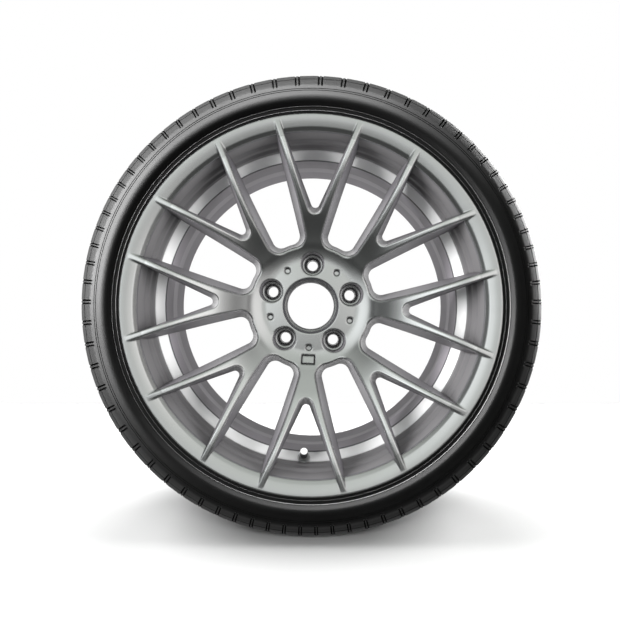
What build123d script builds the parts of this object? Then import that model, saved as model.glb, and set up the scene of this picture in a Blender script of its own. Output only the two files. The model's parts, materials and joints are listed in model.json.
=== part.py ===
from build123d import *
import math
import os

# Car wheel with its tyre, ready to bolt to a hub.
# A one-piece cast alloy wheel with eight Y-shaped spokes carries a low-profile tubeless tyre.
# A metal clamp-in valve sits in the wheel, in the window at the bottom.
# Millimetres and degrees. The origin is the wheel's centre, the wheel's axis lies along Y,
# the outer face looks towards -Y and +Z is up. "Depth" is measured back from the rim's front plane.

# Widths of tyre and rim
section_width = 256.0       # tyre over its sidewalls
rim_setback = 27.4          # bead faces inside that width, both sides together
rim_width = section_width - rim_setback     # 9 inches between the bead faces

# Rim
bead_diameter = 482.6       # nominal 19 inches
flange_height = 17.3        # above the bead seat
flange_width = 12.7         # bead face to the rim's outer plane
flange_curve = 9.5          # curve of the flange on the tyre's side
flange_edge = 2.0           # bevel on the flange's outer edge
seat_length = 25.0          # length of each bead seat
seat_taper = 5.0            # slope of each bead seat
hump_height = 1.2           # ridge that keeps the bead on its seat
hump_run = 3.0
well_depth = 23.0           # drop centre below the bead seat
well_length = 36.0
rim_wall = 6.3              # wall of the drop centre and the valve band

# Rim as seen from the front
lip_depth = 3.2             # fall of the sloped lip
lip_crown = 0.25            # roundness of the lip
lip_turn = 3.0              # turned edge behind the lip
seat_wall = 5.0             # metal under the front bead seat
wall_end = 30.0             # depth where the wall behind the lip ends
wall_draft = 3.3
step_drop = 4.0             # step behind that wall
ledge_length = 7.0
ledge_draft = 1.0
second_step = 3.0           # run of the step down to the shelf
shelf_length = 11.0         # short shelf in front of the valve band
shelf_draft = 0.6
band_height = 12.0          # sloped band that holds the valve
band_run = 10.5
rear_wall = 10.3            # metal under the rear bead seat
rear_ramp = 14.0            # run of the ramp up to the rear bead seat
rear_flange = 8.0           # thickness of the rear flange

# Hub
wheel_offset = 36.0         # centre plane to mounting face
hub_thickness = 42.0        # mounting face to the hub's front face
hub_radius = 79.0           # where the spokes start to rise
hub_blend = 55.0            # bowl between the hub's flat face and the spokes
pad_radius = 77.0           # mounting pad
pad_step = 3.0
pilot_diameter = 72.6       # bore that centres the wheel on the hub
pilot_chamfer = 1.0
recess_diameter = 79.6      # recess round the centre hole
recess_floor_diameter = 75.2
recess_depth = 6.0
recess_ledge = 1.5
lip_hole_diameter = 67.2
lip_hole_length = 8.0       # length of the narrow hole behind the recess
bolt_count = 5
bolt_circle = 120.0
bolt_hole = 15.0
bolt_seat = 25.0            # wide end of the conical seat
bolt_seat_slope = 30.0      # of the cone's side to its axis
bolt_well = 33.0            # counterbore round each bolt
bolt_well_draft = 1.2
bolt_well_depth = 21.0
locating_hole = 8.8
locating_depth = 3.0
relief_depth = 11.0         # pockets in the mounting pad, between the bolts
relief_inner = 47.0
relief_outer = 70.0
relief_spread = 28.0
relief_corner = 5.0

# Spokes
spoke_count = 8
dome_radius = 150.0         # a point on the spokes' front curve
dome_depth = 16.8
dome_edge_depth = 0.5
dome_edge_inset = 4.6       # spoke tips to the flange's outer edge
back_radius = 140.0         # a point on the spokes' back curve
back_depth = 65.0
back_edge_depth = 39.0
edge_bevel = 2.2            # bevel of the spokes' front edges

# Windows: outlines on a front and a back cutting plane, which both tilt with the spokes
cut_front_lead = 25.0       # front plane ahead of the hub's face
cut_front_radius = 86.0
cut_front_slope = 0.274
cut_back_lag = 2.0          # back plane behind the mounting face
cut_back_radius = 97.0
cut_back_slope = 0.36
window_overrun = 4.0        # cutters past the flange
# Wide windows between two spokes: hub end, waist and rim end
wide_hub_front = 81.0
wide_hub_back = 98.4
wide_half_front = (27.0, 36.4, 37.3)
wide_half_back = (17.5, 24.2, 37.5)
wide_waist_radius = 160.0
wide_corner_front = 17.0
wide_corner_back = 12.0
# Narrow windows between the two arms of a spoke
fork_front = 123.5
fork_back = 147.7
fork_spread_front = 20.3    # slope of each arm's side to the spoke's middle line
fork_spread_back = 25.2
fork_round_front = 11.4
fork_round_back = 5.0

# Pockets in the arms' backs: middle line and half widths on the back plane and at the floor
pocket_reach = (158.0, 207.0)       # from the wheel's axis, along the spoke
pocket_offset = (23.4, 41.5)        # from the spoke's middle line
pocket_half_back = (8.0, 4.6)
pocket_half_floor = (3.2, 2.4)
pocket_floor_depth = 26.0
pocket_floor_slope = 0.17

# Plain framed panel below the centre hole
panel_width = 19.5
panel_height = 13.5
panel_radius = 77.5
panel_groove = 1.5
panel_depth = 0.6
panel_tilt = 10.0

# Tyre
tyre_diameter = 654.1
tread_half_width = 95.0     # flat part of the tread, from its middle
tread_drop = 4.5            # fall of the tread from its middle to that width
shoulder_depth = 13.0       # buttress below the tread's edge, behind the front plane
shoulder_drop = 19.0        # tread's middle down to the buttress
slot_foot_drop = 26.0       # tread's middle down to the slots' lower ends
slot_foot_depth = 7.5
bulge_height = 21.5         # widest part of the sidewall above the flange
bulge_curve = 17.0          # radius of the sidewall there
bulge_turn = 34.0           # arc of that curve towards the tread
protector_height = 1.0      # ribs that guard the flange
protector_setback = 4.0     # ribs' feet behind the widest part of the sidewall
protector_inner = 2.4       # ribs' places above the flange
protector_outer = 9.0
protector_width = 1.6
tread_thickness = 13.5
shoulder_thickness = 15.0
sidewall_thickness = 8.5
bead_width = 24.0
bead_fit = 0.2              # clearance between tyre and rim
groove_count = 4
groove_pitch = 42.0
groove_width = 9.0
groove_depth = 7.0
slot_count = 72             # on each shoulder
slot_width = 6.0
slot_depth = 3.0
slot_reach = 50.0           # slots' blind ends behind the front plane
slot_wave = 3.5             # uneven spacing, in degrees
slot_waves = 3

# Valve
valve_drop = 4.6            # valve's axis below the band's front edge
valve_hole = 11.5
valve_spot = 18.0           # flat seat for the nut's washer
valve_spot_depth = 0.8
valve_gap = 0.1             # between clamped pieces
stem_diameter = 8.0
stem_length = 20.0          # past the seat
stem_bore = 3.2
stem_thread = 7.7           # under the cap
stem_thread_length = 10.5
stem_flange_diameter = 15.4     # stem's flange inside the tyre
stem_flange_thickness = 3.8
grommet_thickness = 4.0
grommet_sleeve = 4.5        # part of the grommet inside the hole
washer_diameter = 15.6
washer_thickness = 1.2
nut_across = 12.0
nut_height = 6.5
nut_chamfer = 0.8
core_diameter = 4.8
core_length = 12.0
core_recess = 1.6           # core's top below the stem's end
pin_diameter = 1.5
pin_length = 15.0
pin_head = 2.6
pin_head_height = 1.0
valve_clearance = 0.25      # round moving pieces
cap_wall = 1.15
cap_top = 1.6
cap_reach = 10.0            # cap over the stem's end
cap_headroom = 0.9
cap_flutes = 14
cap_flute_depth = 0.35

cut_overrun = 1.0           # cutters past an open face

# Derived places
overall_width = rim_width + 2 * flange_width
bead_radius = bead_diameter / 2
flange_radius = bead_radius + flange_height
well_radius = bead_radius - well_depth
well_inner = well_radius - rim_wall
shelf_radius = well_inner + band_height
wall_front = bead_radius - seat_wall
wall_back = wall_front - wall_draft
ledge_radius = wall_back - step_drop
ledge_end = wall_end + step_drop + ledge_length
band_start = ledge_end + second_step + shelf_length
band_end = band_start + band_run
mount_depth = overall_width / 2 - wheel_offset
hub_depth = mount_depth - hub_thickness
cut_front_depth = hub_depth - cut_front_lead
cut_back_depth = mount_depth + cut_back_lag
dome_edge = flange_radius - dome_edge_inset
window_end = flange_radius + window_overrun
tyre_radius = tyre_diameter / 2
tyre_side = (overall_width - section_width) / 2
band_length = math.hypot(band_height, band_run)
valve_radius = shelf_radius - valve_drop * band_height / band_length
valve_depth = band_start + valve_drop * band_run / band_length


def along(depth):
    """Y of a depth behind the rim's front plane."""
    return depth - overall_width / 2


def seat_fall(length):
    """Fall of the tapered bead seat over a length."""
    return length * math.tan(math.radians(seat_taper))


def places(points):
    """Profile points from (radius, depth) pairs."""
    return [(radius, along(depth)) for radius, depth in points]


def turned(profile):
    """Solid of revolution round the wheel's axis."""
    return revolve(make_face(profile), axis=Axis.Y)


def mirrored(point):
    """The same place on the rear side of the rim."""
    radius, depth = point
    return radius, overall_width - depth


def bead_side(fit):
    """Flange tip, two points of its curve and the bead's heel, moved off the metal by a fit."""
    centre_radius = flange_radius - flange_curve
    centre_depth = flange_width - flange_curve
    reach = flange_curve + fit
    points = []
    for angle in (0, 45, 90):
        turn = math.radians(angle)
        points.append((centre_radius + reach * math.cos(turn), centre_depth + reach * math.sin(turn)))
    points.append((bead_radius + fit, flange_width + fit))
    return points


def rim():
    """Barrel with both flanges, bead seats and the drop centre."""
    flange = bead_side(0)
    seat_end = flange_width + seat_length
    seat_low = bead_radius - seat_fall(seat_length)
    hump_top = seat_end + hump_run
    hump_end = hump_top + hump_run
    normal_depth = band_height / band_length * rim_wall
    normal_radius = band_run / band_length * rim_wall
    slope = band_run / band_height
    outer_start = band_start + normal_depth
    outer_radius = shelf_radius + normal_radius
    ramp_top = (seat_low, outer_start - (seat_low - outer_radius) * slope)
    ramp_foot = (well_radius, outer_start + (outer_radius - well_radius) * slope)
    well_end = ramp_foot[1] + well_length
    rear_inner = bead_radius - rear_wall
    rear_hump = overall_width - hump_end
    rear_foot = (rear_inner - ledge_draft + rim_wall, rear_hump - rear_ramp)

    front_seat = flange + [(seat_low, seat_end), (seat_low + hump_height, hump_top), (seat_low, hump_end)]
    rear_seat = [mirrored(point) for point in reversed(front_seat)]
    outside = front_seat + [ramp_top, ramp_foot, (well_radius, well_end), rear_foot] + rear_seat
    lip_inner = (bead_radius, lip_depth)
    lip_outer = (flange_radius - flange_edge / 2, 0)
    lip_middle = ((lip_inner[0] + lip_outer[0]) / 2, lip_depth / 2 - lip_crown)
    inside = [
        (flange_radius, overall_width - flange_edge),
        (flange_radius - flange_edge, overall_width),
        (flange_radius - flange_curve, overall_width),
        (rear_inner, overall_width - rear_flange),
        (rear_inner - ledge_draft, rear_hump - rear_ramp),
        (well_inner, well_end),
        (well_inner, band_end),
        (shelf_radius, band_start),
        (shelf_radius + shelf_draft, band_start - shelf_length),
        (ledge_radius - ledge_draft, ledge_end),
        (ledge_radius, wall_end + step_drop),
        (wall_back, wall_end),
        (wall_front, lip_depth + lip_turn),
        lip_inner,
    ]
    barrel = Polyline(*places([lip_outer, (flange_radius, flange_edge / 2), *outside, *inside]))
    return turned(barrel + ThreePointArc(*places([lip_inner, lip_middle, lip_outer])))


def disc():
    """Hub and spokes before the windows: domed in front, hollow behind."""
    root = wall_front + seat_wall / 2
    hub_edge = (hub_radius, hub_depth)
    tip = (dome_edge, dome_edge_depth)
    front = Polyline(*places([(0, hub_depth), hub_edge]))
    front += ThreePointArc(*places([hub_edge, (dome_radius, dome_depth), tip]))
    foot = (ledge_radius + seat_wall / 2, back_edge_depth)
    rim_end = [
        tip,
        (dome_edge, dome_edge_depth + flange_edge),
        (root, flange_width),
        (root, back_edge_depth - lip_turn),
        foot,
    ]
    pad_edge = (pad_radius + pad_step, mount_depth - pad_step)
    back = ThreePointArc(*places([foot, (back_radius, back_depth), pad_edge]))
    pad = Polyline(*places([pad_edge, (pad_radius, mount_depth), (0, mount_depth), (0, hub_depth)]))
    section = make_face(front + Polyline(*places(rim_end)) + back + pad)
    corner = section.vertices().sort_by_distance((hub_radius, along(hub_depth)))[0]
    return revolve(fillet(corner, hub_blend), axis=Axis.Y)


def cutting_plane(depth, radius, slope):
    """Plane across a window, with its own place for each radius along the window's middle line."""
    plane = Plane(origin=(0, along(depth), radius), x_dir=(1, 0, 0), z_dir=(0, -1, -slope))

    def place(across, out):
        return across, (out - radius) * math.hypot(1, slope)

    return plane, place


def wide_outline(cut, hub_end, halves, corner):
    """Outline of a window between two spokes, with rounded corners at the hub."""
    plane, place = cut
    near, waist, far = halves
    hub_corner = math.sqrt(hub_end**2 - near**2)
    outline = ThreePointArc(place(-near, hub_corner), place(0, hub_end), place(near, hub_corner))
    sides = []
    for side in (1, -1):
        sides.append(
            ThreePointArc(
                place(side * near, hub_corner),
                place(side * waist, wide_waist_radius),
                place(side * far, window_end),
            )
        )
    outline += sides[0] + Line(place(far, window_end), place(-far, window_end)) + sides[1]
    face = make_face(outline)
    return plane * fillet(face.vertices().sort_by(Axis.Y)[0:2], corner)


def fork_outline(cut, apex, spread, rounding):
    """Outline of a window between the two arms of a spoke, with a rounded apex."""
    plane, place = cut
    point = apex - rounding * (1 / math.sin(math.radians(spread)) - 1)
    half = (window_end - point) * math.tan(math.radians(spread))
    tip = place(0, point)
    face = make_face(Polyline(tip, place(half, window_end), place(-half, window_end), tip))
    return plane * fillet(face.vertices().sort_by(Axis.Y)[0:1], rounding)


def windows():
    """Cutters for all windows, narrower at the back than at the front."""
    front = cutting_plane(cut_front_depth, cut_front_radius, cut_front_slope)
    back = cutting_plane(cut_back_depth, cut_back_radius, cut_back_slope)
    wide = loft(
        [
            wide_outline(front, wide_hub_front, wide_half_front, wide_corner_front),
            wide_outline(back, wide_hub_back, wide_half_back, wide_corner_back),
        ],
        ruled=True,
    )
    fork = loft(
        [
            fork_outline(front, fork_front, fork_spread_front, fork_round_front),
            fork_outline(back, fork_back, fork_spread_back, fork_round_back),
        ],
        ruled=True,
    )
    pitch = 360 / spoke_count
    cutters = []
    for number in range(spoke_count):
        cutters.append(Rot(0, number * pitch, 0) * fork)
        cutters.append(Rot(0, (number + 0.5) * pitch, 0) * wide)
    return cutters


def pocket_outline(cut, halves):
    """Outline of one arm's pocket on a cutting plane."""
    plane, place = cut
    (near, far), (start, end) = halves, pocket_offset
    low, high = pocket_reach
    corners = [(start - near, low), (start + near, low), (end + far, high), (end - far, high)]
    return plane * make_face(Polyline(*[place(*corner) for corner in corners], close=True))


def arm_pockets():
    """Cutters for the pockets that lighten the arms from behind."""
    back = cutting_plane(cut_back_depth, cut_back_radius, cut_back_slope)
    floor = cutting_plane(pocket_floor_depth, pocket_reach[0], pocket_floor_slope)
    outlines = [pocket_outline(floor, pocket_half_floor), pocket_outline(back, pocket_half_back)]
    right = loft(outlines, ruled=True)
    left = mirror(right, about=Plane.YZ)
    pitch = 360 / spoke_count
    cutters = []
    for number in range(spoke_count):
        turn = Rot(0, number * pitch, 0)
        cutters.extend([turn * right, turn * left])
    return cutters


def spokes():
    """Hub and spokes with bevelled front edges round every window."""
    spider = disc() - windows()
    domed = spider.faces().sort_by(lambda face: len(face.edges()))[-2:]
    front = domed.sort_by(Axis.Y)[0]
    edges = [edge for edge in front.edges() if edge.geom_type == GeomType.BSPLINE]
    return chamfer(edges, edge_bevel) - arm_pockets()


def along_axis(points):
    """Turned cutter or piece, from (radius, depth) pairs, with its axis on the wheel's axis."""
    return turned(Polyline(*places(points), close=True))


def centre_hole():
    """Centre hole: bevelled recess in front, narrow lip, then the bore that fits the hub."""
    pilot = pilot_diameter / 2
    lip_start = hub_depth + recess_depth + 2 * recess_ledge
    lip_end = lip_start + lip_hole_length
    opening = pilot - lip_hole_diameter / 2
    return along_axis(
        [
            (0, hub_depth - cut_overrun),
            (recess_diameter / 2, hub_depth - cut_overrun),
            (recess_diameter / 2, hub_depth),
            (recess_floor_diameter / 2, hub_depth + recess_depth),
            (lip_hole_diameter / 2 + recess_ledge, hub_depth + recess_depth + recess_ledge),
            (lip_hole_diameter / 2, lip_start),
            (lip_hole_diameter / 2, lip_end),
            (pilot, lip_end + opening),
            (pilot, mount_depth - pilot_chamfer),
            (pilot + pilot_chamfer, mount_depth),
            (pilot + pilot_chamfer, mount_depth + cut_overrun),
            (0, mount_depth + cut_overrun),
        ]
    )


def bolt_well_cutter():
    """Bolt hole with its counterbore and conical seat, on the wheel's axis."""
    floor = hub_depth + bolt_well_depth
    cone = (bolt_seat - bolt_hole) / 2 / math.tan(math.radians(bolt_seat_slope))
    well = bolt_well / 2
    return along_axis(
        [
            (0, dome_depth),
            (well, dome_depth),
            (well, hub_depth),
            (well - bolt_well_draft, floor),
            (bolt_seat / 2, floor),
            (bolt_hole / 2, floor + cone),
            (bolt_hole / 2, mount_depth + cut_overrun),
            (0, mount_depth + cut_overrun),
        ]
    )


def locating_cutter():
    """Shallow blind hole between two bolts, on the wheel's axis."""
    floor = hub_depth + locating_depth
    radius = locating_hole / 2
    return along_axis([(0, dome_depth), (radius, dome_depth), (radius, floor), (0, floor)])


def relief_cutter():
    """Pocket in the mounting pad between two bolts, at the top of the wheel."""
    half = math.radians(relief_spread / 2)
    corners = []
    for radius, side in ((relief_inner, -1), (relief_inner, 1), (relief_outer, 1), (relief_outer, -1)):
        corners.append((side * radius * math.sin(half), radius * math.cos(half)))
    face = fillet(make_face(Polyline(*corners, close=True)).vertices(), relief_corner)
    back = Plane(origin=(0, along(mount_depth + cut_overrun), 0), x_dir=(1, 0, 0), z_dir=(0, -1, 0))
    return extrude(back * face, relief_depth + cut_overrun)


def hub_cutters():
    """All holes and pockets round the centre hole. One bolt is at the top."""
    bolt = Pos(0, 0, bolt_circle / 2) * bolt_well_cutter()
    locating = Pos(0, 0, bolt_circle / 2) * locating_cutter()
    relief = relief_cutter()
    pitch = 360 / bolt_count
    cutters = [centre_hole()]
    for number in range(bolt_count):
        cutters.append(Rot(0, number * pitch, 0) * bolt)
        between = Rot(0, (number + 0.5) * pitch, 0)
        cutters.append(between * locating)
        cutters.append(between * relief)
    return cutters


def panel_cutter():
    """Groove that frames the plain panel at the bottom of the hub."""
    frame = Rectangle(panel_width, panel_height)
    frame -= Rectangle(panel_width - 2 * panel_groove, panel_height - 2 * panel_groove)
    slope = math.tan(math.radians(panel_tilt))
    floor = Plane(
        origin=(0, along(hub_depth + panel_depth), -panel_radius),
        x_dir=(1, 0, 0),
        z_dir=(0, -1, slope),
    )
    return extrude(floor * frame, hub_depth)


def valve_frame():
    """Place of the valve: origin on its seat, Z out of the wheel along the valve's axis."""
    forward = band_height / band_length
    inward = band_run / band_length
    axis = Vector(0, -forward, inward)
    centre = Vector(0, along(valve_depth), -valve_radius)
    return Plane(origin=centre - axis * valve_spot_depth, x_dir=(1, 0, 0), z_dir=axis)


def lathe(points):
    """Valve piece turned from (radius, height) pairs, put in its place."""
    face = Plane.XZ * make_face(Polyline(*points, close=True))
    return valve_frame() * revolve(face, axis=Axis.Z)


def valve_cutter():
    """Hole for the valve with a flat seat round its front end."""
    deep = 2 * rim_wall
    hole = valve_hole / 2
    spot = valve_spot / 2
    return lathe([(0, -deep), (hole, -deep), (hole, 0), (spot, 0), (spot, rim_wall), (0, rim_wall)])


def alloy_wheel():
    """The cast wheel as one solid."""
    wheel = rim() + spokes()
    return wheel - (hub_cutters() + [panel_cutter(), valve_cutter()])


def rib(radius, half_width, depth, height):
    """Three profile points of a small raised rib round the sidewall."""
    return [(radius - half_width, depth), (radius, depth - height), (radius + half_width, depth)]


def tyre_body():
    """Hollow tyre with beads, sidewalls, shoulders and plain tread."""
    middle_depth = overall_width / 2
    bead = list(reversed(bead_side(bead_fit)))
    toe = (bead_radius - seat_fall(bead_width) + bead_fit, flange_width + bead_width)
    guard = tyre_side + protector_setback
    inner_rib = rib(flange_radius + protector_inner, protector_width / 2, guard, protector_height)
    outer_rib = rib(flange_radius + protector_outer, protector_width / 2, guard, protector_height)
    bulge = (flange_radius + bulge_height, tyre_side)
    turn = math.radians(bulge_turn)
    bulge_end = (
        bulge[0] + bulge_curve * math.sin(turn),
        bulge[1] + bulge_curve * (1 - math.cos(turn)),
    )
    slot_foot = (tyre_radius - slot_foot_drop, slot_foot_depth)
    buttress = (tyre_radius - shoulder_drop, shoulder_depth)
    tread_edge = (tyre_radius - tread_drop, middle_depth - tread_half_width)
    shoulder = (
        (buttress[0] + tread_edge[0] + tread_drop) / 2,
        (buttress[1] + tread_edge[1] - tread_drop) / 2,
    )
    crown = (tyre_radius, middle_depth)
    liner_foot = (flange_radius, flange_width + sidewall_thickness)
    liner_side = (bulge[0], bulge[1] + sidewall_thickness)
    liner_corner = (tread_edge[0] - shoulder_thickness, buttress[1] + shoulder_thickness)
    liner_crown = (tyre_radius - tread_thickness, middle_depth)

    half = Polyline(*places([liner_corner, liner_side, liner_foot, toe, *bead, *inner_rib, *outer_rib]))
    half += ThreePointArc(*places([outer_rib[-1], bulge, bulge_end]))
    half += Polyline(*places([bulge_end, slot_foot, buttress]))
    half += ThreePointArc(*places([buttress, shoulder, tread_edge]))
    tread = ThreePointArc(*places([tread_edge, crown, mirrored(tread_edge)]))
    lining = ThreePointArc(*places([liner_corner, liner_crown, mirrored(liner_corner)]))
    return turned(half + tread + lining + mirror(half, about=Plane.XZ))


def tread_grooves():
    """Ring cutters for the grooves that run round the tread."""
    first = overall_width / 2 - groove_pitch * (groove_count - 1) / 2
    cutters = []
    for number in range(groove_count):
        middle = first + number * groove_pitch
        near = middle - groove_width / 2
        far = middle + groove_width / 2
        low = tyre_radius - groove_depth
        high = tyre_radius + cut_overrun
        cutters.append(along_axis([(low, near), (high, near), (high, far), (low, far)]))
    return cutters


def slot_angles():
    """Unevenly spaced slots, which keep the tyre quiet."""
    angles = []
    for number in range(slot_count):
        even = number * 360 / slot_count
        angles.append(even + slot_wave * math.sin(math.radians(slot_waves * even)))
    return angles


def shoulder_slots():
    """Cutters for the slots over both shoulders."""
    foot = tyre_radius - slot_foot_drop
    edge = tyre_radius - tread_drop
    beyond = tyre_radius + slot_depth
    points = [
        (foot, tyre_side - slot_depth),
        (foot, slot_foot_depth),
        (edge - slot_depth, overall_width / 2 - tread_half_width),
        (edge - slot_depth / 2, slot_reach),
        (beyond, slot_reach),
        (beyond, tyre_side - slot_depth),
    ]
    outline = make_face(Polyline(*places(points), close=True))
    sweep = math.degrees(slot_width / tyre_radius)
    front = revolve(outline, axis=Axis.Y, revolution_arc=sweep)
    rear = mirror(front, about=Plane.XZ)
    cutters = []
    for angle in slot_angles():
        start = angle - sweep / 2
        cutters.append(Rot(0, start, 0) * front)
        cutters.append(Rot(0, start + 180 / slot_count, 0) * rear)
    return cutters


def tyre():
    """Tyre with its tread pattern."""
    return tyre_body() - (tread_grooves() + shoulder_slots())


def valve_stem():
    """Threaded stem with its flange inside the tyre and a bore for the core."""
    body = stem_diameter / 2
    thread = stem_thread / 2
    top = stem_length
    flange_top = grommet_seat() - grommet_thickness - valve_gap
    bottom = flange_top - stem_flange_thickness
    core_floor = top - core_recess - core_length
    core_hole = core_diameter / 2 + valve_gap
    bore = stem_bore / 2
    return lathe(
        [
            (bore, bottom),
            (stem_flange_diameter / 2, bottom),
            (stem_flange_diameter / 2, flange_top),
            (body, flange_top),
            (body, top - stem_thread_length),
            (thread, top - stem_thread_length + body - thread),
            (thread, top),
            (core_hole, top),
            (core_hole, core_floor),
            (bore, core_floor),
        ]
    )


def grommet_seat():
    """Height of the rim's inner side at the valve, less the clamped gap."""
    return valve_spot_depth - rim_wall - valve_gap


def valve_grommet():
    """Rubber seal inside the rim, with a sleeve that fills the hole."""
    inner = stem_diameter / 2 + valve_gap
    sleeve = valve_hole / 2 - valve_gap
    top = grommet_seat()
    bottom = top - grommet_thickness
    return lathe(
        [
            (inner, bottom),
            (stem_flange_diameter / 2, bottom),
            (stem_flange_diameter / 2, top),
            (sleeve, top),
            (sleeve, top + grommet_sleeve),
            (inner, top + grommet_sleeve),
        ]
    )


def valve_washer():
    """Flat washer on the valve's seat."""
    inner = stem_diameter / 2 + valve_gap
    outer = washer_diameter / 2
    top = valve_gap + washer_thickness
    return lathe([(inner, valve_gap), (outer, valve_gap), (outer, top), (inner, top)])


def valve_nut():
    """Hexagonal nut that clamps the stem, with its corners turned off."""
    bottom = washer_thickness + 2 * valve_gap
    top = bottom + nut_height
    hexagon = extrude(Pos(0, 0, bottom) * RegularPolygon(nut_across / 2, 6, major_radius=False), nut_height)
    corner = nut_across / math.sqrt(3)
    inner = stem_diameter / 2 + valve_gap
    waist = nut_across / 2
    blank = lathe(
        [
            (inner, bottom),
            (corner, bottom),
            (corner, top - nut_chamfer),
            (waist, top),
            (inner, top),
        ]
    )
    return (valve_frame() * hexagon) & blank


def valve_core():
    """Valve core screwed into the stem, with a hole for its pin."""
    top = stem_length - core_recess
    bottom = top - core_length
    inner = pin_diameter / 2 + valve_clearance
    outer = core_diameter / 2
    return lathe([(inner, bottom), (outer, bottom), (outer, top), (inner, top)])


def valve_pin():
    """Sprung pin that opens the valve when it is pressed."""
    core_bottom = stem_length - core_recess - core_length
    head_top = core_bottom - valve_clearance
    head_bottom = head_top - pin_head_height
    shank = pin_diameter / 2
    head = pin_head / 2
    top = head_bottom + pin_length
    return lathe(
        [(0, head_bottom), (head, head_bottom), (head, head_top), (shank, head_top), (shank, top), (0, top)]
    )


def valve_cap():
    """Screw cap over the stem's end, with a fluted grip."""
    inner = stem_thread / 2 + valve_clearance
    outer = inner + cap_wall
    ceiling = stem_length + cap_headroom
    bottom = stem_length - cap_reach
    top = ceiling + cap_top
    bevel = cap_wall / 2
    shell = lathe(
        [
            (inner, bottom),
            (outer, bottom),
            (outer, top - bevel),
            (outer - bevel, top),
            (0, top),
            (0, ceiling),
            (inner, ceiling),
        ]
    )
    flute = Cylinder(cap_wall, top - bevel - bottom - cap_wall)
    middle = (top - bevel + bottom - cap_wall) / 2
    ring = outer + cap_wall - cap_flute_depth
    flutes = [place * flute for place in PolarLocations(ring, cap_flutes)]
    return shell - [valve_frame() * Pos(0, 0, middle) * piece for piece in flutes]


def save(name, piece):
    """Write one piece as its own file."""
    export_step(piece, os.path.join("parts", name + ".step"))


os.makedirs("parts", exist_ok=True)
save("alloy_wheel", alloy_wheel())
save("tyre", tyre())
save("valve_stem", valve_stem())
save("valve_grommet", valve_grommet())
save("valve_washer", valve_washer())
save("valve_nut", valve_nut())
save("valve_core", valve_core())
save("valve_pin", valve_pin())
save("valve_cap", valve_cap())
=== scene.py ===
import json
import math
import bpy
from mathutils import Matrix, Vector


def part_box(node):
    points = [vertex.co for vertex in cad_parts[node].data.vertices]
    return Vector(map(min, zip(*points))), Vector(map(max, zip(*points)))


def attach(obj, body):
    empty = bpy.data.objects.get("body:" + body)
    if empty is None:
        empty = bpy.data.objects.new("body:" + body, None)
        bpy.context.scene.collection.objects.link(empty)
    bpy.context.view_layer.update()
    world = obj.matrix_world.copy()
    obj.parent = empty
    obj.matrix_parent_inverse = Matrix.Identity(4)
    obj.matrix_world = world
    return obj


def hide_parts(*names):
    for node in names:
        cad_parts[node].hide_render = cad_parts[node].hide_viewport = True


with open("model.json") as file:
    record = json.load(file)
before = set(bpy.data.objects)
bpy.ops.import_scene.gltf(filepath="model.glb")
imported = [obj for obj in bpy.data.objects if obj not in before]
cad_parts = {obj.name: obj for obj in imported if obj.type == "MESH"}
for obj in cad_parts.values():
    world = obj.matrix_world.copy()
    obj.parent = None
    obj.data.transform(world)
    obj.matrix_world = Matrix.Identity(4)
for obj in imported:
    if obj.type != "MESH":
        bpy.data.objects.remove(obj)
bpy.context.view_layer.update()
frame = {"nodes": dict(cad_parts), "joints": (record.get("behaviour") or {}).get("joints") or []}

# A car wheel with its tyre, seen from the front on a white floor.
# Sizes of wheel and tyre are in millimetres and degrees. Depth is measured back from the rim's front plane.
MM = 0.001
wheel_low, wheel_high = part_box("alloy_wheel")
tyre_low, tyre_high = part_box("tyre")
front_plane = wheel_low.y / MM
rim_depth = (wheel_high.y - wheel_low.y) / MM
flange_radius = wheel_high.x / MM
tyre_radius = tyre_high.x / MM
tyre_side = tyre_low.y / MM - front_plane
valve_axis = next(joint["axis"] for joint in frame["joints"] if joint["name"] == "cap_off")

# Photograph
picture_size = 620
focal_length = 538.0            # in pixels of that picture
axis_pixel = (316.5, 311.0)     # where the wheel's axis vanishes
flange_pixel = (310.2, 305.5)   # middle of the rim's front plane
flange_distance = 722.0
wheel_roll = 2.6                # wheel turned clockwise in the picture
sensor_width = 36.0

# Studio: light levels by angle from straight in front of the wheel, in degrees, with a tint for each side
right_levels = (
    (0, 0.60), (4.5, 0.58), (6.5, 0.92), (15, 0.90), (28, 0.90), (33, 0.76),
    (38, 0.42), (43, 0.17), (49, 0.40), (60, 0.50), (70, 0.12), (90, 0.10),
)
left_levels = (
    (0, 0.60), (4, 0.83), (6.5, 1.08), (16, 1.08), (27, 0.96), (32, 0.78), (37, 0.40),
    (42, 0.10), (50, 0.08), (57, 0.40), (64, 0.50), (72, 0.12), (90, 0.10),
)
top_levels = ((0, 0.60), (4, 0.58), (20, 0.54), (50, 0.49), (60, 0.36), (70, 0.14), (90, 0.14))
bottom_levels = (
    (0, 0.60), (3, 0.36), (8, 0.23), (14, 0.15), (24, 0.09),
    (32, 0.05), (42, 0.05), (50, 0.08), (67, 0.10), (90, 0.10),
)
right_tint = (1.0, 1.0, 0.99)
left_tint = (0.97, 1.01, 1.01)
top_tint = (0.97, 1.03, 0.98)
bottom_tint = (0.98, 1.015, 1.0)
left_to_right = (-0.4, 0.4)     # runs in which one side passes into the next
side_to_top = (0.4, 1.0)
side_to_bottom = (0.15, 0.7)
least_spread = 0.001            # keeps the direction straight in front from dividing by nothing

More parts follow.
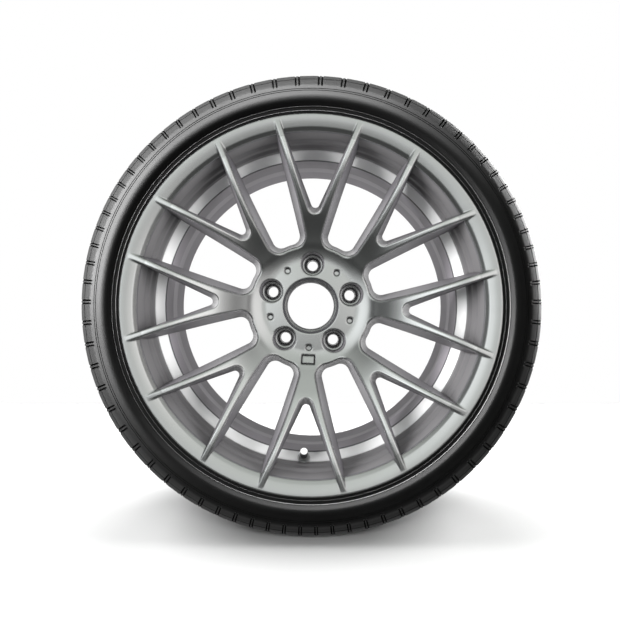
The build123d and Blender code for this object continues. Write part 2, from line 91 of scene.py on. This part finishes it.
# Lamps: angle off the axis, clock angle round the picture, size in metres and radiance
floor_lights = ((20, 90, 0.8, 25.4), (105, 90, 1.5, 9.8), (90, 40, 1.5, 11.4), (90, 140, 1.5, 12.2))
wheel_lights = ((58, 3, 1.2, 12.0), (58, 165, 1.2, 23.0), (50, 75, 1.2, 4.0))
cap_lights = ((40, 90, 1.2, 10.0),)
upper_radiances = ((68, 6.0), (90, 20.0), (112, 15.0), (135, 15.0), (158, 36.0), (180, 20.0), (202, 2.0))
tyre_lights = (*((66, clock, 1.4, radiance) for clock, radiance in upper_radiances), (128, 24, 1.3, 30.0))
floor_lamp_distance = 2.2       # in metres
lamp_distance = 1.8

# Floor, in metres
floor_near = -0.36
floor_far = 1.0
floor_half_width = 1.6
floor_colour = (0.48, 0.48, 0.48)
# Painted shadow: the floor's colour is darker round where the wheel stands, on top of its real shadow.
painted_shadow_colour = (0.24, 0.24, 0.24)
painted_shadow_place = 0.11              # middle of the painted shadow where the wheel stands
painted_shadow_radii = (0.133, 0.311)

# Paint, by depth behind the front plane, with painted shade and a painted highlight
barrel_radius = 192.0           # rings of the barrel lie outside this radius
barrel_run = 1.0                # run in which they start
recess_start = 7.5              # matt recess behind the lip, with a darker colour painted as shade
band_start = 52.5               # satin band that holds the valve
barrel_start = 65.0             # matt rear barrel
fades = (1.0, 3.0, 1.0)         # half of the run in which each of them starts
# Painted shadow line just behind the lip's inner edge, and a dark line where the satin band meets the rear
# barrel.
lip_shadow_and_band_lines = (recess_start + 1, barrel_start)
dark_line_half = 1.2
lip_radius = 232.0              # the lip keeps the plain silver from here on
lip_run = 2.0
centre_shade_radii = (37.6, 39.8)      # radii of the wall round the centre hole, painted dark as shade
centre_fades = (0.2, 0.3)
arm_light_radii = (118.0, 140.0)     # radii over which the spokes' arms are painted brighter, as a painted highlight
frontal_range = (0.12, 0.55)    # how far a face must look forward to be silver
ring_range = (0.1, 0.2)         # how far a face of the barrel may turn aside
edge_softness = 3.6             # radius to which edges are shaded round
edge_samples = 8
# faces that don't look forward get this dark colour as painted shade
side_wall_shade = (0.08, 0.076, 0.083)
# the recess's dark colour is painted shade
recess_shade = (0.10, 0.097, 0.10)
barrel_paint = (0.195, 0.18, 0.2)
silver_paint = (0.78, 0.78, 0.775)
# painted highlight: a brighter silver on the spokes' arms
lit_arm_paint = (0.96, 0.96, 0.955)
band_paint = (0.86, 0.86, 0.86)
# painted shadow lines and painted shade on the centre wall, also the dark line at the band's rear edge
shade_and_line_paint = (0.04, 0.04, 0.045)
# painted shade of narrow corners and holes
corner_shade = (0.03, 0.03, 0.03)
matt_roughness = 0.55
silver_roughness = 0.18
band_matt = 0.8                 # matt share of the satin band
paint_grain = (900.0, 0.03, 0.0002)  # scale, strength and height in metres
corner_shade_reach = 3.5               # how far the painted shade of narrow corners reaches
corner_shade_least = 0.25              # open share below which a corner gets the full painted shade
open_full = 0.95                # open share above which a corner gets no painted shade
crevice_samples = 6
noise_detail = 3.0

# Rubber
rubber_colours = ((0.004, 0.004, 0.004), (0.008, 0.008, 0.008))
rubber_patches = 40.0
rubber_grain = (700.0, 0.12, 0.0003)
sidewall_roughness = 0.38
shoulder_roughness = 0.60
rubber_gloss = 0.085
rib_gloss = 0.55                # added on the ribs' crests
rubber_reach = 3.0
rubber_least = 0.5
dull_drop = 26.0                # shoulder's rubber is dull from here on, below the tread
dull_run = 6.0
slot_shade_run = 2.0

# Valve
metal_colour = (0.62, 0.62, 0.62)
brass_colour = (0.60, 0.46, 0.22)
seal_colour = (0.02, 0.02, 0.02)
part_grain = 1500.0
part_variation = 0.2            # of a small part's roughness
# the cap's dark side is painted shade
cap_side_shade = (0.06, 0.06, 0.06)
cap_end_colour = (0.95, 0.95, 0.95)
cap_end_range = (0.5, 0.8)      # how far a face must look along the valve to be the cap's end
cap_roughness = 0.5

# Tyre
bead_toe = (239.4, 36.7)
bead_heel = (241.5, 12.9)
flange_turn = ((249.1, 12.9), (255.9, 10.0), (258.8, 5.6))
rib_base = 4.0                  # depth of the sidewall beside the outer protector rib
rib_lean = 0.15                 # how much deeper it gets towards the flange
rib_height = 1.0
rib_places = (4.9, 10.2)        # above the flange
rib_width = 1.8
bulge_height = 19.8             # widest part of the sidewall above the flange
bulge_curves = (7.0, 18.0)      # towards the rim and towards the tread
bulge_angles = (38.0, 24.0)
bulge_steps = (6, 8)
flank_shares = (0.15, 0.85)     # straight stretch between ribs and bulge
line_width = 1.1                # pair of fine lines round the sidewall
line_depth = 0.7
line_gap = 3.0
line_shape = ((-0.5, 0), (-0.25, 1), (0.25, 1), (0.5, 0))  # shares of a line's width and depth
slot_foot_drop = 29.06          # inner ends of the slots, below the tread
slot_foot_depth = 5.3
shoulder_curve = 83.0
shoulder_tilts = (34.4, 58.0)   # slope of the shoulder at its ends
shoulder_line = (46.2, 47.6)    # fine line round the shoulder, as slopes
shoulder_steps = (4, 5)
corner_curve = 6.0
corner_tilt = 84.0
corner_steps = 3
tread_half_width = 95.0
tread_edge = rim_depth / 2 - tread_half_width
tread_drop = 4.5
groove_places = (21.0, 63.0)    # from the tread's middle
groove_width = 9.0
groove_depth = 7.0
groove_draft = 1.0
liner_bead = 21.0               # depth of the liner beside the bead
liner_shoulder = 24.0           # below the tread, and as deep behind the front plane
liner_crown = 13.5              # below the tread's middle
slot_count = 72
slot_half = 0.58                # half of a slot's width, in degrees
slot_floor = (0.27, 0.47)       # floors of the two grooves that make a slot
slot_bar = 0.18                 # half of the bar between them
groove_share = 0.75             # depth of the shallower one
slot_reach = 50.0
slot_lean = 2.6                 # slots turn aside behind the tread's edge
slot_wave = 3.5                 # uneven spacing, in degrees, and its waves round the tyre
slot_waves = 3
slot_depths = (
    (slot_foot_depth, 0.0), (7.2, 2.2), (10.0, 3.0), (20.0, 3.4),
    (29.0, 2.8), (38.0, 1.6), (slot_reach, 0.0),
)  # depth behind the front plane and depth of the slots there
land_step = 1.6                 # mesh column on the plain land between slots
column_steps = (slot_bar, *slot_floor, slot_half, land_step)
step_slack = 0.01
crease_angle = 38.0


def link(obj):
    """Put an object into the scene."""
    bpy.context.scene.collection.objects.link(obj)
    return obj


def picture_axes():
    """Right, forward and up of the camera, turned so that the wheel shows its roll."""
    roll = math.radians(wheel_roll)
    right = Vector((math.cos(roll), 0, math.sin(roll)))
    up = Vector((-math.sin(roll), 0, math.cos(roll)))
    middle = picture_size / 2
    across = (axis_pixel[0] - middle) / focal_length
    down = (axis_pixel[1] - middle) / focal_length
    forward = (Vector((0, 1, 0)) - right * across + up * down).normalized()
    right = (right - forward * right.dot(forward)).normalized()
    return right, forward, right.cross(forward)


def make_camera():
    """Camera at the photograph's place."""
    right, forward, up = picture_axes()
    middle = picture_size / 2
    across = (flange_pixel[0] - middle) / focal_length * flange_distance
    down = (flange_pixel[1] - middle) / focal_length * flange_distance
    target = Vector((0, front_plane, 0))
    place = target - forward * flange_distance - right * across + up * down
    turn = Matrix((right, up, -forward)).transposed().to_4x4()
    data = bpy.data.cameras.new("camera")
    data.sensor_width = sensor_width
    data.lens = focal_length / picture_size * sensor_width
    camera = link(bpy.data.objects.new("camera", data))
    camera.matrix_world = Matrix.Translation(place * MM) @ turn
    bpy.context.scene.camera = camera


def node(tree, kind, **settings):
    """New shader node with its properties set."""
    made = tree.nodes.new(kind)
    for key, value in settings.items():
        setattr(made, key, value)
    return made


def maths(tree, operation, *values, clamp=False):
    """Math node fed by sockets or numbers."""
    made = node(tree, "ShaderNodeMath", operation=operation, use_clamp=clamp)
    for socket, value in zip(made.inputs, values):
        if isinstance(value, (int, float)):
            socket.default_value = value
        else:
            tree.links.new(value, socket)
    return made.outputs[0]


def times(tree, first, second):
    """Product of two values."""
    return maths(tree, "MULTIPLY", first, second)


def rest(tree, share):
    """What a share leaves of the whole."""
    return maths(tree, "SUBTRACT", 1.0, share)


def sum_of(tree, values):
    """Sum of any number of values."""
    added = values[0]
    for value in values[1:]:
        added = maths(tree, "ADD", added, value)
    return added


def flat_distance(tree, first, second):
    """Length of the diagonal of two coordinates."""
    return maths(tree, "SQRT", maths(tree, "ADD", times(tree, first, first), times(tree, second, second)))


def split(tree, vector):
    """Three coordinates of a vector."""
    made = node(tree, "ShaderNodeSeparateXYZ")
    tree.links.new(vector, made.inputs[0])
    return made.outputs


def ramp(tree, factor, stops, tint):
    """Colour ramp of tinted grey levels from (place, level) pairs."""
    made = node(tree, "ShaderNodeValToRGB")
    elements = made.color_ramp.elements
    while len(elements) < len(stops):
        elements.new(0.5)
    for element, (place, level) in zip(elements, stops):
        element.position = place
        element.color = (*(level * share for share in tint), 1)
    tree.links.new(factor, made.inputs["Fac"])
    return made.outputs["Color"]


def smooth(tree, value, low, high):
    """Smooth step from 0 to 1 as a value goes from low to high."""
    made = node(tree, "ShaderNodeMapRange", interpolation_type="SMOOTHSTEP")
    made.inputs["From Min"].default_value = low
    made.inputs["From Max"].default_value = high
    tree.links.new(value, made.inputs["Value"])
    return made.outputs["Result"]


def mix_colour(tree, factor, first, second):
    """Mix of two colours, each a socket or an RGB triple."""
    made = node(tree, "ShaderNodeMix", data_type="RGBA")
    tree.links.new(factor, made.inputs["Factor"])
    for name, value in (("A", first), ("B", second)):
        socket = [s for s in made.inputs if s.name == name and s.type == "RGBA"][0]
        if isinstance(value, tuple):
            socket.default_value = (*value, 1)
        else:
            tree.links.new(value, socket)
    return [s for s in made.outputs if s.type == "RGBA"][0]


def new_material(name):
    """Node material with its tree, shader and object-space position."""
    material = bpy.data.materials.new(name)
    material.use_nodes = True
    tree = material.node_tree
    shader = tree.nodes["Principled BSDF"]
    place = node(tree, "ShaderNodeTexCoord").outputs["Object"]
    return material, tree, shader, place


def noise(tree, place, scale):
    """Noise value at a scale, from object-space position."""
    made = node(tree, "ShaderNodeTexNoise")
    made.inputs["Scale"].default_value = scale
    made.inputs["Detail"].default_value = noise_detail
    tree.links.new(place, made.inputs["Vector"])
    return made.outputs["Fac"]


def add_grain(tree, shader, place, grain):
    """Fine bump on a shader, given as scale, strength and height."""
    scale, strength, height = grain
    made = node(tree, "ShaderNodeBump")
    made.inputs["Strength"].default_value = strength
    made.inputs["Distance"].default_value = height
    tree.links.new(noise(tree, place, scale), made.inputs["Height"])
    tree.links.new(made.outputs["Normal"], shader.inputs["Normal"])
    return made


def make_world():
    """White background behind the wheel and a plain studio of soft panels in front of it."""
    world = bpy.data.worlds.new("studio")
    bpy.context.scene.world = world
    world.use_nodes = True
    tree = world.node_tree
    tree.nodes.clear()
    x, y, z = split(tree, node(tree, "ShaderNodeTexCoord").outputs["Generated"])
    angle = maths(tree, "ARCCOSINE", times(tree, y, -1))
    share = maths(tree, "DIVIDE", angle, math.pi)
    spread = maths(tree, "ADD", flat_distance(tree, x, z), least_spread)
    across = maths(tree, "DIVIDE", x, spread)
    height = maths(tree, "DIVIDE", z, spread)
    half_turn = 180
    right, left, top, bottom = (
        ramp(tree, share, [(degrees / half_turn, level) for degrees, level in levels], tint)
        for levels, tint in (
            (right_levels, right_tint),
            (left_levels, left_tint),
            (top_levels, top_tint),
            (bottom_levels, bottom_tint),
        )
    )
    studio = mix_colour(tree, smooth(tree, across, *left_to_right), left, right)
    studio = mix_colour(tree, smooth(tree, height, *side_to_top), studio, top)
    studio = mix_colour(tree, smooth(tree, times(tree, height, -1), *side_to_bottom), studio, bottom)
    rays = node(tree, "ShaderNodeLightPath").outputs
    mirrored = maths(tree, "MAXIMUM", rays["Is Glossy Ray"], rays["Is Transmission Ray"])
    behind = maths(tree, "GREATER_THAN", y, 0)
    shown = maths(tree, "MAXIMUM", rays["Is Camera Ray"], times(tree, mirrored, behind))
    background = node(tree, "ShaderNodeBackground")
    tree.links.new(mix_colour(tree, shown, studio, (1.0, 1.0, 1.0)), background.inputs["Color"])
    output = node(tree, "ShaderNodeOutputWorld")
    tree.links.new(background.outputs[0], output.inputs["Surface"])


def make_lamp(name, off_axis, clock, distance, size, radiance):
    """Square soft lamp that looks at the wheel, placed by its angle off the axis and round the picture."""
    right, forward, up = picture_axes()
    tilt = math.radians(off_axis)
    turn = math.radians(clock)
    across = right * math.cos(turn) + up * math.sin(turn)
    direction = across * math.sin(tilt) - forward * math.cos(tilt)
    data = bpy.data.lights.new(name, "AREA")
    data.size = size
    data.energy = radiance * math.pi * size**2
    lamp = link(bpy.data.objects.new(name, data))
    lamp.location = direction * distance
    lamp.rotation_euler = direction.to_track_quat("Z", "Y").to_euler()
    return lamp


def light_only(receiver, lights, distance, matt):
    """Lamps that light one object alone, either its matt faces or its gloss."""
    lit = bpy.data.collections.new(receiver.name + "_lit")
    lit.objects.link(receiver)
    for number, (off_axis, clock, size, radiance) in enumerate(lights):
        name = "%s_lamp_%d" % (receiver.name, number + 1)
        lamp = make_lamp(name, off_axis, clock, distance, size, radiance)
        lamp.light_linking.receiver_collection = lit
        lamp.visible_diffuse = matt
        lamp.visible_glossy = not matt


def floor_finish():
    """Pale matt floor with a painted shadow where the wheel stands."""
    material, tree, shader, place = new_material("floor")
    x, y, _ = split(tree, place)
    away = flat_distance(tree, x, maths(tree, "SUBTRACT", y, painted_shadow_place))
    # painted shadow: darker floor colour near where the wheel stands
    colour = mix_colour(tree, smooth(tree, away, *painted_shadow_radii), painted_shadow_colour, floor_colour)
    tree.links.new(colour, shader.inputs["Base Color"])
    shader.inputs["Roughness"].default_value = 1.0
    shader.inputs["Specular IOR Level"].default_value = 0.0
    return material


def make_floor():
    """Pale floor that touches the tyre, level in the picture."""
    right, _, up = picture_axes()
    drop = up * (-tyre_radius * MM)
    along = Vector((0, 1, 0))
    ends = ((-1, floor_near), (1, floor_near), (1, floor_far), (-1, floor_far))
    corners = [drop + right * side * floor_half_width + along * depth for side, depth in ends]
    mesh = bpy.data.meshes.new("floor")
    mesh.from_pydata([tuple(corner) for corner in corners], [], [(0, 1, 2, 3)])
    mesh.materials.append(floor_finish())
    floor = link(bpy.data.objects.new("floor", mesh))
    floor.visible_glossy = False
    return floor


def arc_points(centre, radius, start, end, count):
    """Points of an arc in (radius, depth), with angles from straight in front, outwards positive."""
    points = []
    for number in range(count + 1):
        angle = math.radians(start + (end - start) * number / count)
        points.append((centre[0] + radius * math.sin(angle), centre[1] - radius * math.cos(angle)))
    return points


def arc_from(start, radius, tilts, count):
    """Centre and points of an arc that starts at a point and turns from one slope to another."""
    first = math.radians(tilts[0])
    centre = (start[0] - radius * math.sin(first), start[1] + radius * math.cos(first))
    return centre, arc_points(centre, radius, *tilts, count)


def between(start, end, share):
    """Point at a share of the way from one point to another."""
    return tuple(a + (b - a) * share for a, b in zip(start, end))


def rib_points(place):
    """Small raised rib round the sidewall."""
    points = []
    for share in (-1, -0.5, 0, 0.5, 1):
        spot = place + share * rib_width / 2
        base = rib_base + rib_lean * (rib_places[-1] - spot)
        points.append((flange_radius + spot, base - rib_height * (1 - share**2)))
    return points


def bulge_points():
    """Round bulge of the sidewall, tighter towards the rim than towards the tread."""
    inner, outer = ((flange_radius + bulge_height, tyre_side + curve) for curve in bulge_curves)
    points = arc_points(inner, bulge_curves[0], -bulge_angles[0], 0, bulge_steps[0])
    return points + arc_points(outer, bulge_curves[1], 0, bulge_angles[1], bulge_steps[1])[1:]


def line_points(start, end):
    """Stretch of sidewall between two points with a pair of fine sunk lines in it."""
    length = math.dist(start, end)
    points = []
    for side in (-1, 1):
        middle = (length + side * line_gap) / 2
        for offset, sunk_share in line_shape:
            radius, depth = between(start, end, (middle + offset * line_width) / length)
            points.append((radius, depth + sunk_share * line_depth))
    return points


def shoulder_points(foot):
    """Round shoulder from the slots' lower ends to the tread, with a fine line round its middle."""
    low, high = shoulder_tilts
    near, far = shoulder_line
    centre, points = arc_from(foot, shoulder_curve, (low, near), shoulder_steps[0])
    quarter = (far - near) / 4
    points += arc_points(centre, shoulder_curve - line_depth, near + quarter, far - quarter, 1)
    points += arc_points(centre, shoulder_curve, far, high, shoulder_steps[1])
    corner = arc_from(points[-1], corner_curve, (high, corner_tilt), corner_steps)[1]
    return points + corner[1:]


def tread_radius(depth):
    """Radius of the crowned tread at a depth."""
    share = (depth - rim_depth / 2) / tread_half_width
    return tyre_radius - tread_drop * share**2


def groove_points(middle):
    """Groove round the tread, with its middle at a depth."""
    near = middle - groove_width / 2
    far = middle + groove_width / 2
    low = tread_radius(middle) - groove_depth
    floor = [(low, near + groove_draft), (low, far - groove_draft)]
    return [(tread_radius(near), near), *floor, (tread_radius(far), far)]


def half_profile():
    """Front half of the tyre's section, from the bead's toe to the tread's middle."""
    middle = rim_depth / 2
    points = [bead_toe, bead_heel, *flange_turn]
    for place in rib_places:
        points += rib_points(place)
    bulge = bulge_points()
    points += [between(points[-1], bulge[0], share) for share in flank_shares] + bulge
    foot = (tyre_radius - slot_foot_drop, slot_foot_depth)
    points += line_points(points[-1], foot)
    points += shoulder_points(foot)
    points.append((tread_radius(slot_reach), slot_reach))
    for place in reversed(groove_places):
        points += groove_points(middle - place)
    return points + [(tyre_radius, middle)]


def liner_points():
    """Inner side of the tyre, from the rear bead to the front one."""
    front = [(flange_radius, liner_bead), (tyre_radius - liner_shoulder, liner_shoulder)]
    rear = [(radius, rim_depth - depth) for radius, depth in front]
    return [*rear, (tyre_radius - liner_crown, rim_depth / 2), *reversed(front)]


def outward(points):
    """Direction square to the section at each of its points."""
    directions = []
    for before, after in zip(points[:1] + points[:-1], points[1:] + points[-1:]):
        across, along = after[0] - before[0], after[1] - before[1]
        length = math.hypot(across, along)
        directions.append((along / length, -across / length))
    return directions


def within(value):
    """Value kept between 0 and 1."""
    return min(1.0, max(0.0, value))


def columns():
    """Mesh columns in one pitch: their places at the front slots and at the rear ones, half a pitch on."""
    front = sorted([-step for step in column_steps] + list(column_steps))
    half_pitch = 180 / slot_count
    rear = sorted(place + half_pitch if place < 0 else place - half_pitch for place in front)
    return list(zip(front, rear))


def uneven(angle):
    """Angle of a tread feature after the uneven spacing that keeps the tyre quiet."""
    return angle + slot_wave * math.sin(math.radians(slot_waves * angle))


def sunk(offset):
    """Share of a slot's depth at an angle from its middle: one of the two grooves is shallower."""
    if slot_bar < abs(offset) - step_slack and abs(offset) + step_slack < slot_half:
        return 1.0 if offset > 0 else groove_share
    return 0.0


def slot_sink(radius, depth):
    """How deep a shoulder slot is at a point of the front half."""
    if radius < tyre_radius - slot_foot_drop:
        return 0.0
    for (near, low), (far, high) in zip(slot_depths, slot_depths[1:]):
        if near <= depth <= far:
            return low + (high - low) * (depth - near) / (far - near)
    return 0.0


def column_offset(near, far, depth):
    """Angle of a mesh column at a depth, on its way from a front slot to a rear one."""
    share = within((depth - slot_reach) / (rim_depth - 2 * slot_reach))
    return near + (far - near) * share * share * (3 - 2 * share)


def slotted(point, direction, near, far):
    """Point of the section after the slots' sinking, and the angle by which the slots lean there."""
    radius, depth = point
    is_rear = depth > rim_depth / 2
    inward = rim_depth - depth if is_rear else depth
    from_middle = abs(far) - 180 / slot_count if is_rear else near
    sink = sunk(from_middle) * slot_sink(radius, inward)
    past = within((inward - tread_edge) / (slot_reach - tread_edge))
    lean = slot_lean * past**2 * (-1 if is_rear else 1)
    return radius - sink * direction[0], depth - sink * direction[1], lean


def tyre_point(radius, depth, angle):
    """Point in metres at a radius, a depth and an angle from the top."""
    turn = math.radians(angle)
    return radius * math.sin(turn) * MM, (front_plane + depth) * MM, radius * math.cos(turn) * MM


def tyre_columns():
    """Points of the tyre in columns round the wheel, each along the section and back along the liner."""
    half = half_profile()
    section = half + [(radius, rim_depth - depth) for radius, depth in reversed(half[:-1])]
    rows = list(zip(section, outward(section)))
    liner = liner_points()
    made = []
    for number in range(slot_count):
        start = number * 360 / slot_count
        for near, far in columns():
            column = []
            for point, direction in rows:
                radius, depth, lean = slotted(point, direction, near, far)
                angle = uneven(start + column_offset(near, far, point[1])) + lean
                column.append(tyre_point(radius, depth, angle))
            for radius, depth in liner:
                column.append(tyre_point(radius, depth, uneven(start + column_offset(near, far, depth))))
            made.append(column)
    return made


def make_tyre(material):
    """Tyre with grooved tread, shoulder slots, protector ribs and fine sidewall lines."""
    made = tyre_columns()
    total, rows = len(made), len(made[0])
    faces = []
    for column in range(total):
        here, after = column * rows, (column + 1) % total * rows
        for row in range(rows):
            below = (row + 1) % rows
            faces.append((here + row, here + below, after + below, after + row))
    mesh = bpy.data.meshes.new("road_tyre")
    mesh.from_pydata([point for column in made for point in column], [], faces)
    mesh.update()
    mesh.materials.append(material)
    tyre = link(bpy.data.objects.new("road_tyre", mesh))
    for polygon in mesh.polygons:
        polygon.use_smooth = True
    mesh.set_sharp_from_angle(angle=math.radians(crease_angle))
    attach(tyre, "wheel")
    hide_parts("tyre")
    return tyre


def thin_line(tree, value, place, half):
    """Share that is full where a length has a value in millimetres and fades to nothing on both sides."""
    apart = maths(tree, "ABSOLUTE", maths(tree, "SUBTRACT", value, place * MM))
    return rest(tree, smooth(tree, apart, 0.0, half * MM))


def reached(tree, value, start, end):
    """Smooth step of a length between two values in millimetres."""
    return smooth(tree, value, start * MM, end * MM)


def open_share(tree, reach, least):
    """Share of open space round a point: low in narrow corners and holes."""
    crevice = node(tree, "ShaderNodeAmbientOcclusion", samples=crevice_samples, only_local=True)
    crevice.inputs["Distance"].default_value = reach * MM
    return smooth(tree, crevice.outputs["AO"], least, open_full)


def barrel_zones(tree, place, normal):
    """Shares of the matt recess, the satin band, the rear barrel, and the painted shadow lines and painted
    shade round the axis.
    """
    x, y, z = split(tree, place)
    radius = flat_distance(tree, x, z)
    sideways = maths(tree, "SUBTRACT", times(tree, x, normal["Z"]), times(tree, z, normal["X"]))
    turned = maths(tree, "ABSOLUTE", maths(tree, "DIVIDE", sideways, radius))
    ring = rest(tree, smooth(tree, turned, *ring_range))
    ring = times(tree, ring, reached(tree, radius, barrel_radius - barrel_run, barrel_radius))
    starts = [front_plane + depth for depth in (recess_start, band_start, barrel_start)]
    past = [reached(tree, y, start - fade, start + fade) for start, fade in zip(starts, fades)]
    recess = times(tree, ring, maths(tree, "SUBTRACT", past[0], past[1]))
    band = times(tree, ring, maths(tree, "SUBTRACT", past[1], past[2]))
    barrel = times(tree, ring, past[2])
    lines = sum_of(tree, [thin_line(tree, y, front_plane + depth, dark_line_half) for depth in lip_shadow_and_band_lines])
    inner, outer = centre_shade_radii
    wall = reached(tree, radius, inner - centre_fades[0], inner + centre_fades[0])
    wall = maths(tree, "SUBTRACT", wall, reached(tree, radius, outer, outer + centre_fades[1]))
    return recess, band, barrel, maths(tree, "ADD", times(tree, ring, lines), wall, clamp=True)


def front_silver(tree, place):
    """Silver of the front faces, with a painted highlight on the spokes' arms: brighter there than on hub
    and lip.
    """
    x, _, z = split(tree, place)
    radius = flat_distance(tree, x, z)
    lip = reached(tree, radius, lip_radius - lip_run, lip_radius)
    arm_light = maths(tree, "SUBTRACT", reached(tree, radius, *arm_light_radii), lip)
    # painted highlight: the arms' silver is brighter than on hub and lip
    return mix_colour(tree, arm_light, silver_paint, lit_arm_paint)


def wheel_paint():
    """Silver paint: bright on front faces, satin on the valve band, matt and slightly violet elsewhere; the
    dark colours of side walls, recess, lines and corners are painted shade.
    """
    material, tree, shader, place = new_material("wheel_paint")
    normal = split(tree, node(tree, "ShaderNodeTexCoord").outputs["Normal"])
    frontal = smooth(tree, times(tree, normal["Y"], -1), *frontal_range)
    recess, band, barrel, lines = barrel_zones(tree, place, normal)
    # faces turned away from the front take a dark colour that stands in for their shade
    facing_front = times(tree, frontal, rest(tree, recess))
    # the recess gets a darker colour standing in for its shade
    matt = mix_colour(tree, recess, side_wall_shade, recess_shade)
    matt = mix_colour(tree, barrel, matt, barrel_paint)
    colour = mix_colour(tree, facing_front, matt, front_silver(tree, place))
    colour = mix_colour(tree, band, colour, band_paint)
    # painted shadow under the lip, the dark line at the band's rear edge and painted shade on the centre
    # wall
    colour = mix_colour(tree, lines, colour, shade_and_line_paint)
    # painted shade darkens the colour in narrow corners and holes
    colour = mix_colour(tree, open_share(tree, corner_shade_reach, corner_shade_least), corner_shade, colour)
    tree.links.new(colour, shader.inputs["Base Color"])
    gleam = times(tree, facing_front, rest(tree, times(tree, band, band_matt)))
    tree.links.new(gleam, shader.inputs["Metallic"])
    smoother = times(tree, gleam, matt_roughness - silver_roughness)
    tree.links.new(maths(tree, "SUBTRACT", matt_roughness, smoother), shader.inputs["Roughness"])
    edges = node(tree, "ShaderNodeBevel", samples=edge_samples)
    edges.inputs["Radius"].default_value = edge_softness * MM
    grain = add_grain(tree, shader, place, paint_grain)
    tree.links.new(edges.outputs["Normal"], grain.inputs["Normal"])
    return material


def tyre_rubber():
    """Black dressed rubber with a fine grain, glossy on the sidewall and dull on shoulder and tread."""
    material, tree, shader, place = new_material("tyre_rubber")
    colour = mix_colour(tree, noise(tree, place, rubber_patches), *rubber_colours)
    tree.links.new(colour, shader.inputs["Base Color"])
    x, _, z = split(tree, place)
    radius = flat_distance(tree, x, z)
    dull = tyre_radius - dull_drop
    shoulder = reached(tree, radius, dull, dull + dull_run)
    rougher = times(tree, shoulder, shoulder_roughness - sidewall_roughness)
    tree.links.new(maths(tree, "ADD", sidewall_roughness, rougher), shader.inputs["Roughness"])
    foot = tyre_radius - slot_foot_drop
    slots = reached(tree, radius, foot, foot + slot_shade_run)
    hidden = times(tree, rest(tree, open_share(tree, rubber_reach, rubber_least)), slots)
    gloss = times(tree, rest(tree, hidden), rubber_gloss)
    rib_radii = [flange_radius + spot for spot in rib_places]
    crests = sum_of(tree, [thin_line(tree, radius, crest, rib_width / 2) for crest in rib_radii])
    gloss = maths(tree, "ADD", gloss, times(tree, crests, rib_gloss), clamp=True)
    tree.links.new(gloss, shader.inputs["Specular IOR Level"])
    add_grain(tree, shader, place, rubber_grain)
    return material


def plain_material(name, colour, metallic, roughness):
    """Small part's material with slight variation in its roughness."""
    material, tree, shader, place = new_material(name)
    shader.inputs["Base Color"].default_value = (*colour, 1)
    shader.inputs["Metallic"].default_value = metallic
    least = roughness - part_variation / 2
    varied = maths(tree, "MULTIPLY_ADD", noise(tree, place, part_grain), part_variation, least)
    tree.links.new(varied, shader.inputs["Roughness"])
    return material


def cap_plastic():
    """Valve cap: white on its end, with painted shade on its ribbed side."""
    material, tree, shader, _ = new_material("cap_plastic")
    facing = node(tree, "ShaderNodeVectorMath", operation="DOT_PRODUCT")
    facing.inputs[1].default_value = valve_axis
    tree.links.new(node(tree, "ShaderNodeTexCoord").outputs["Normal"], facing.inputs[0])
    end = smooth(tree, facing.outputs["Value"], *cap_end_range)
    # the side's dark colour is painted shade
    tree.links.new(mix_colour(tree, end, cap_side_shade, cap_end_colour), shader.inputs["Base Color"])
    shader.inputs["Roughness"].default_value = cap_roughness
    return material


def paint_nodes():
    """Give every shown piece of the frame its material."""
    metal = plain_material("valve_metal", metal_colour, metallic=1.0, roughness=0.35)
    brass = plain_material("core_brass", brass_colour, metallic=1.0, roughness=0.3)
    seal = plain_material("seal_rubber", seal_colour, metallic=0.0, roughness=0.6)
    finishes = {
        "alloy_wheel": wheel_paint(),
        "valve_stem": metal,
        "valve_nut": metal,
        "valve_washer": metal,
        "valve_grommet": seal,
        "valve_core": brass,
        "valve_pin": brass,
        "valve_cap": cap_plastic(),
    }
    for name, material in finishes.items():
        mesh = frame["nodes"][name].data
        mesh.materials.clear()
        mesh.materials.append(material)


bpy.context.scene.view_settings.view_transform = "Standard"
make_camera()
make_world()
paint_nodes()
light_only(make_floor(), floor_lights, floor_lamp_distance, matt=True)
light_only(frame["nodes"]["alloy_wheel"], wheel_lights, lamp_distance, matt=True)
light_only(frame["nodes"]["valve_cap"], cap_lights, lamp_distance, matt=True)
light_only(make_tyre(tyre_rubber()), tyre_lights, lamp_distance, matt=False)
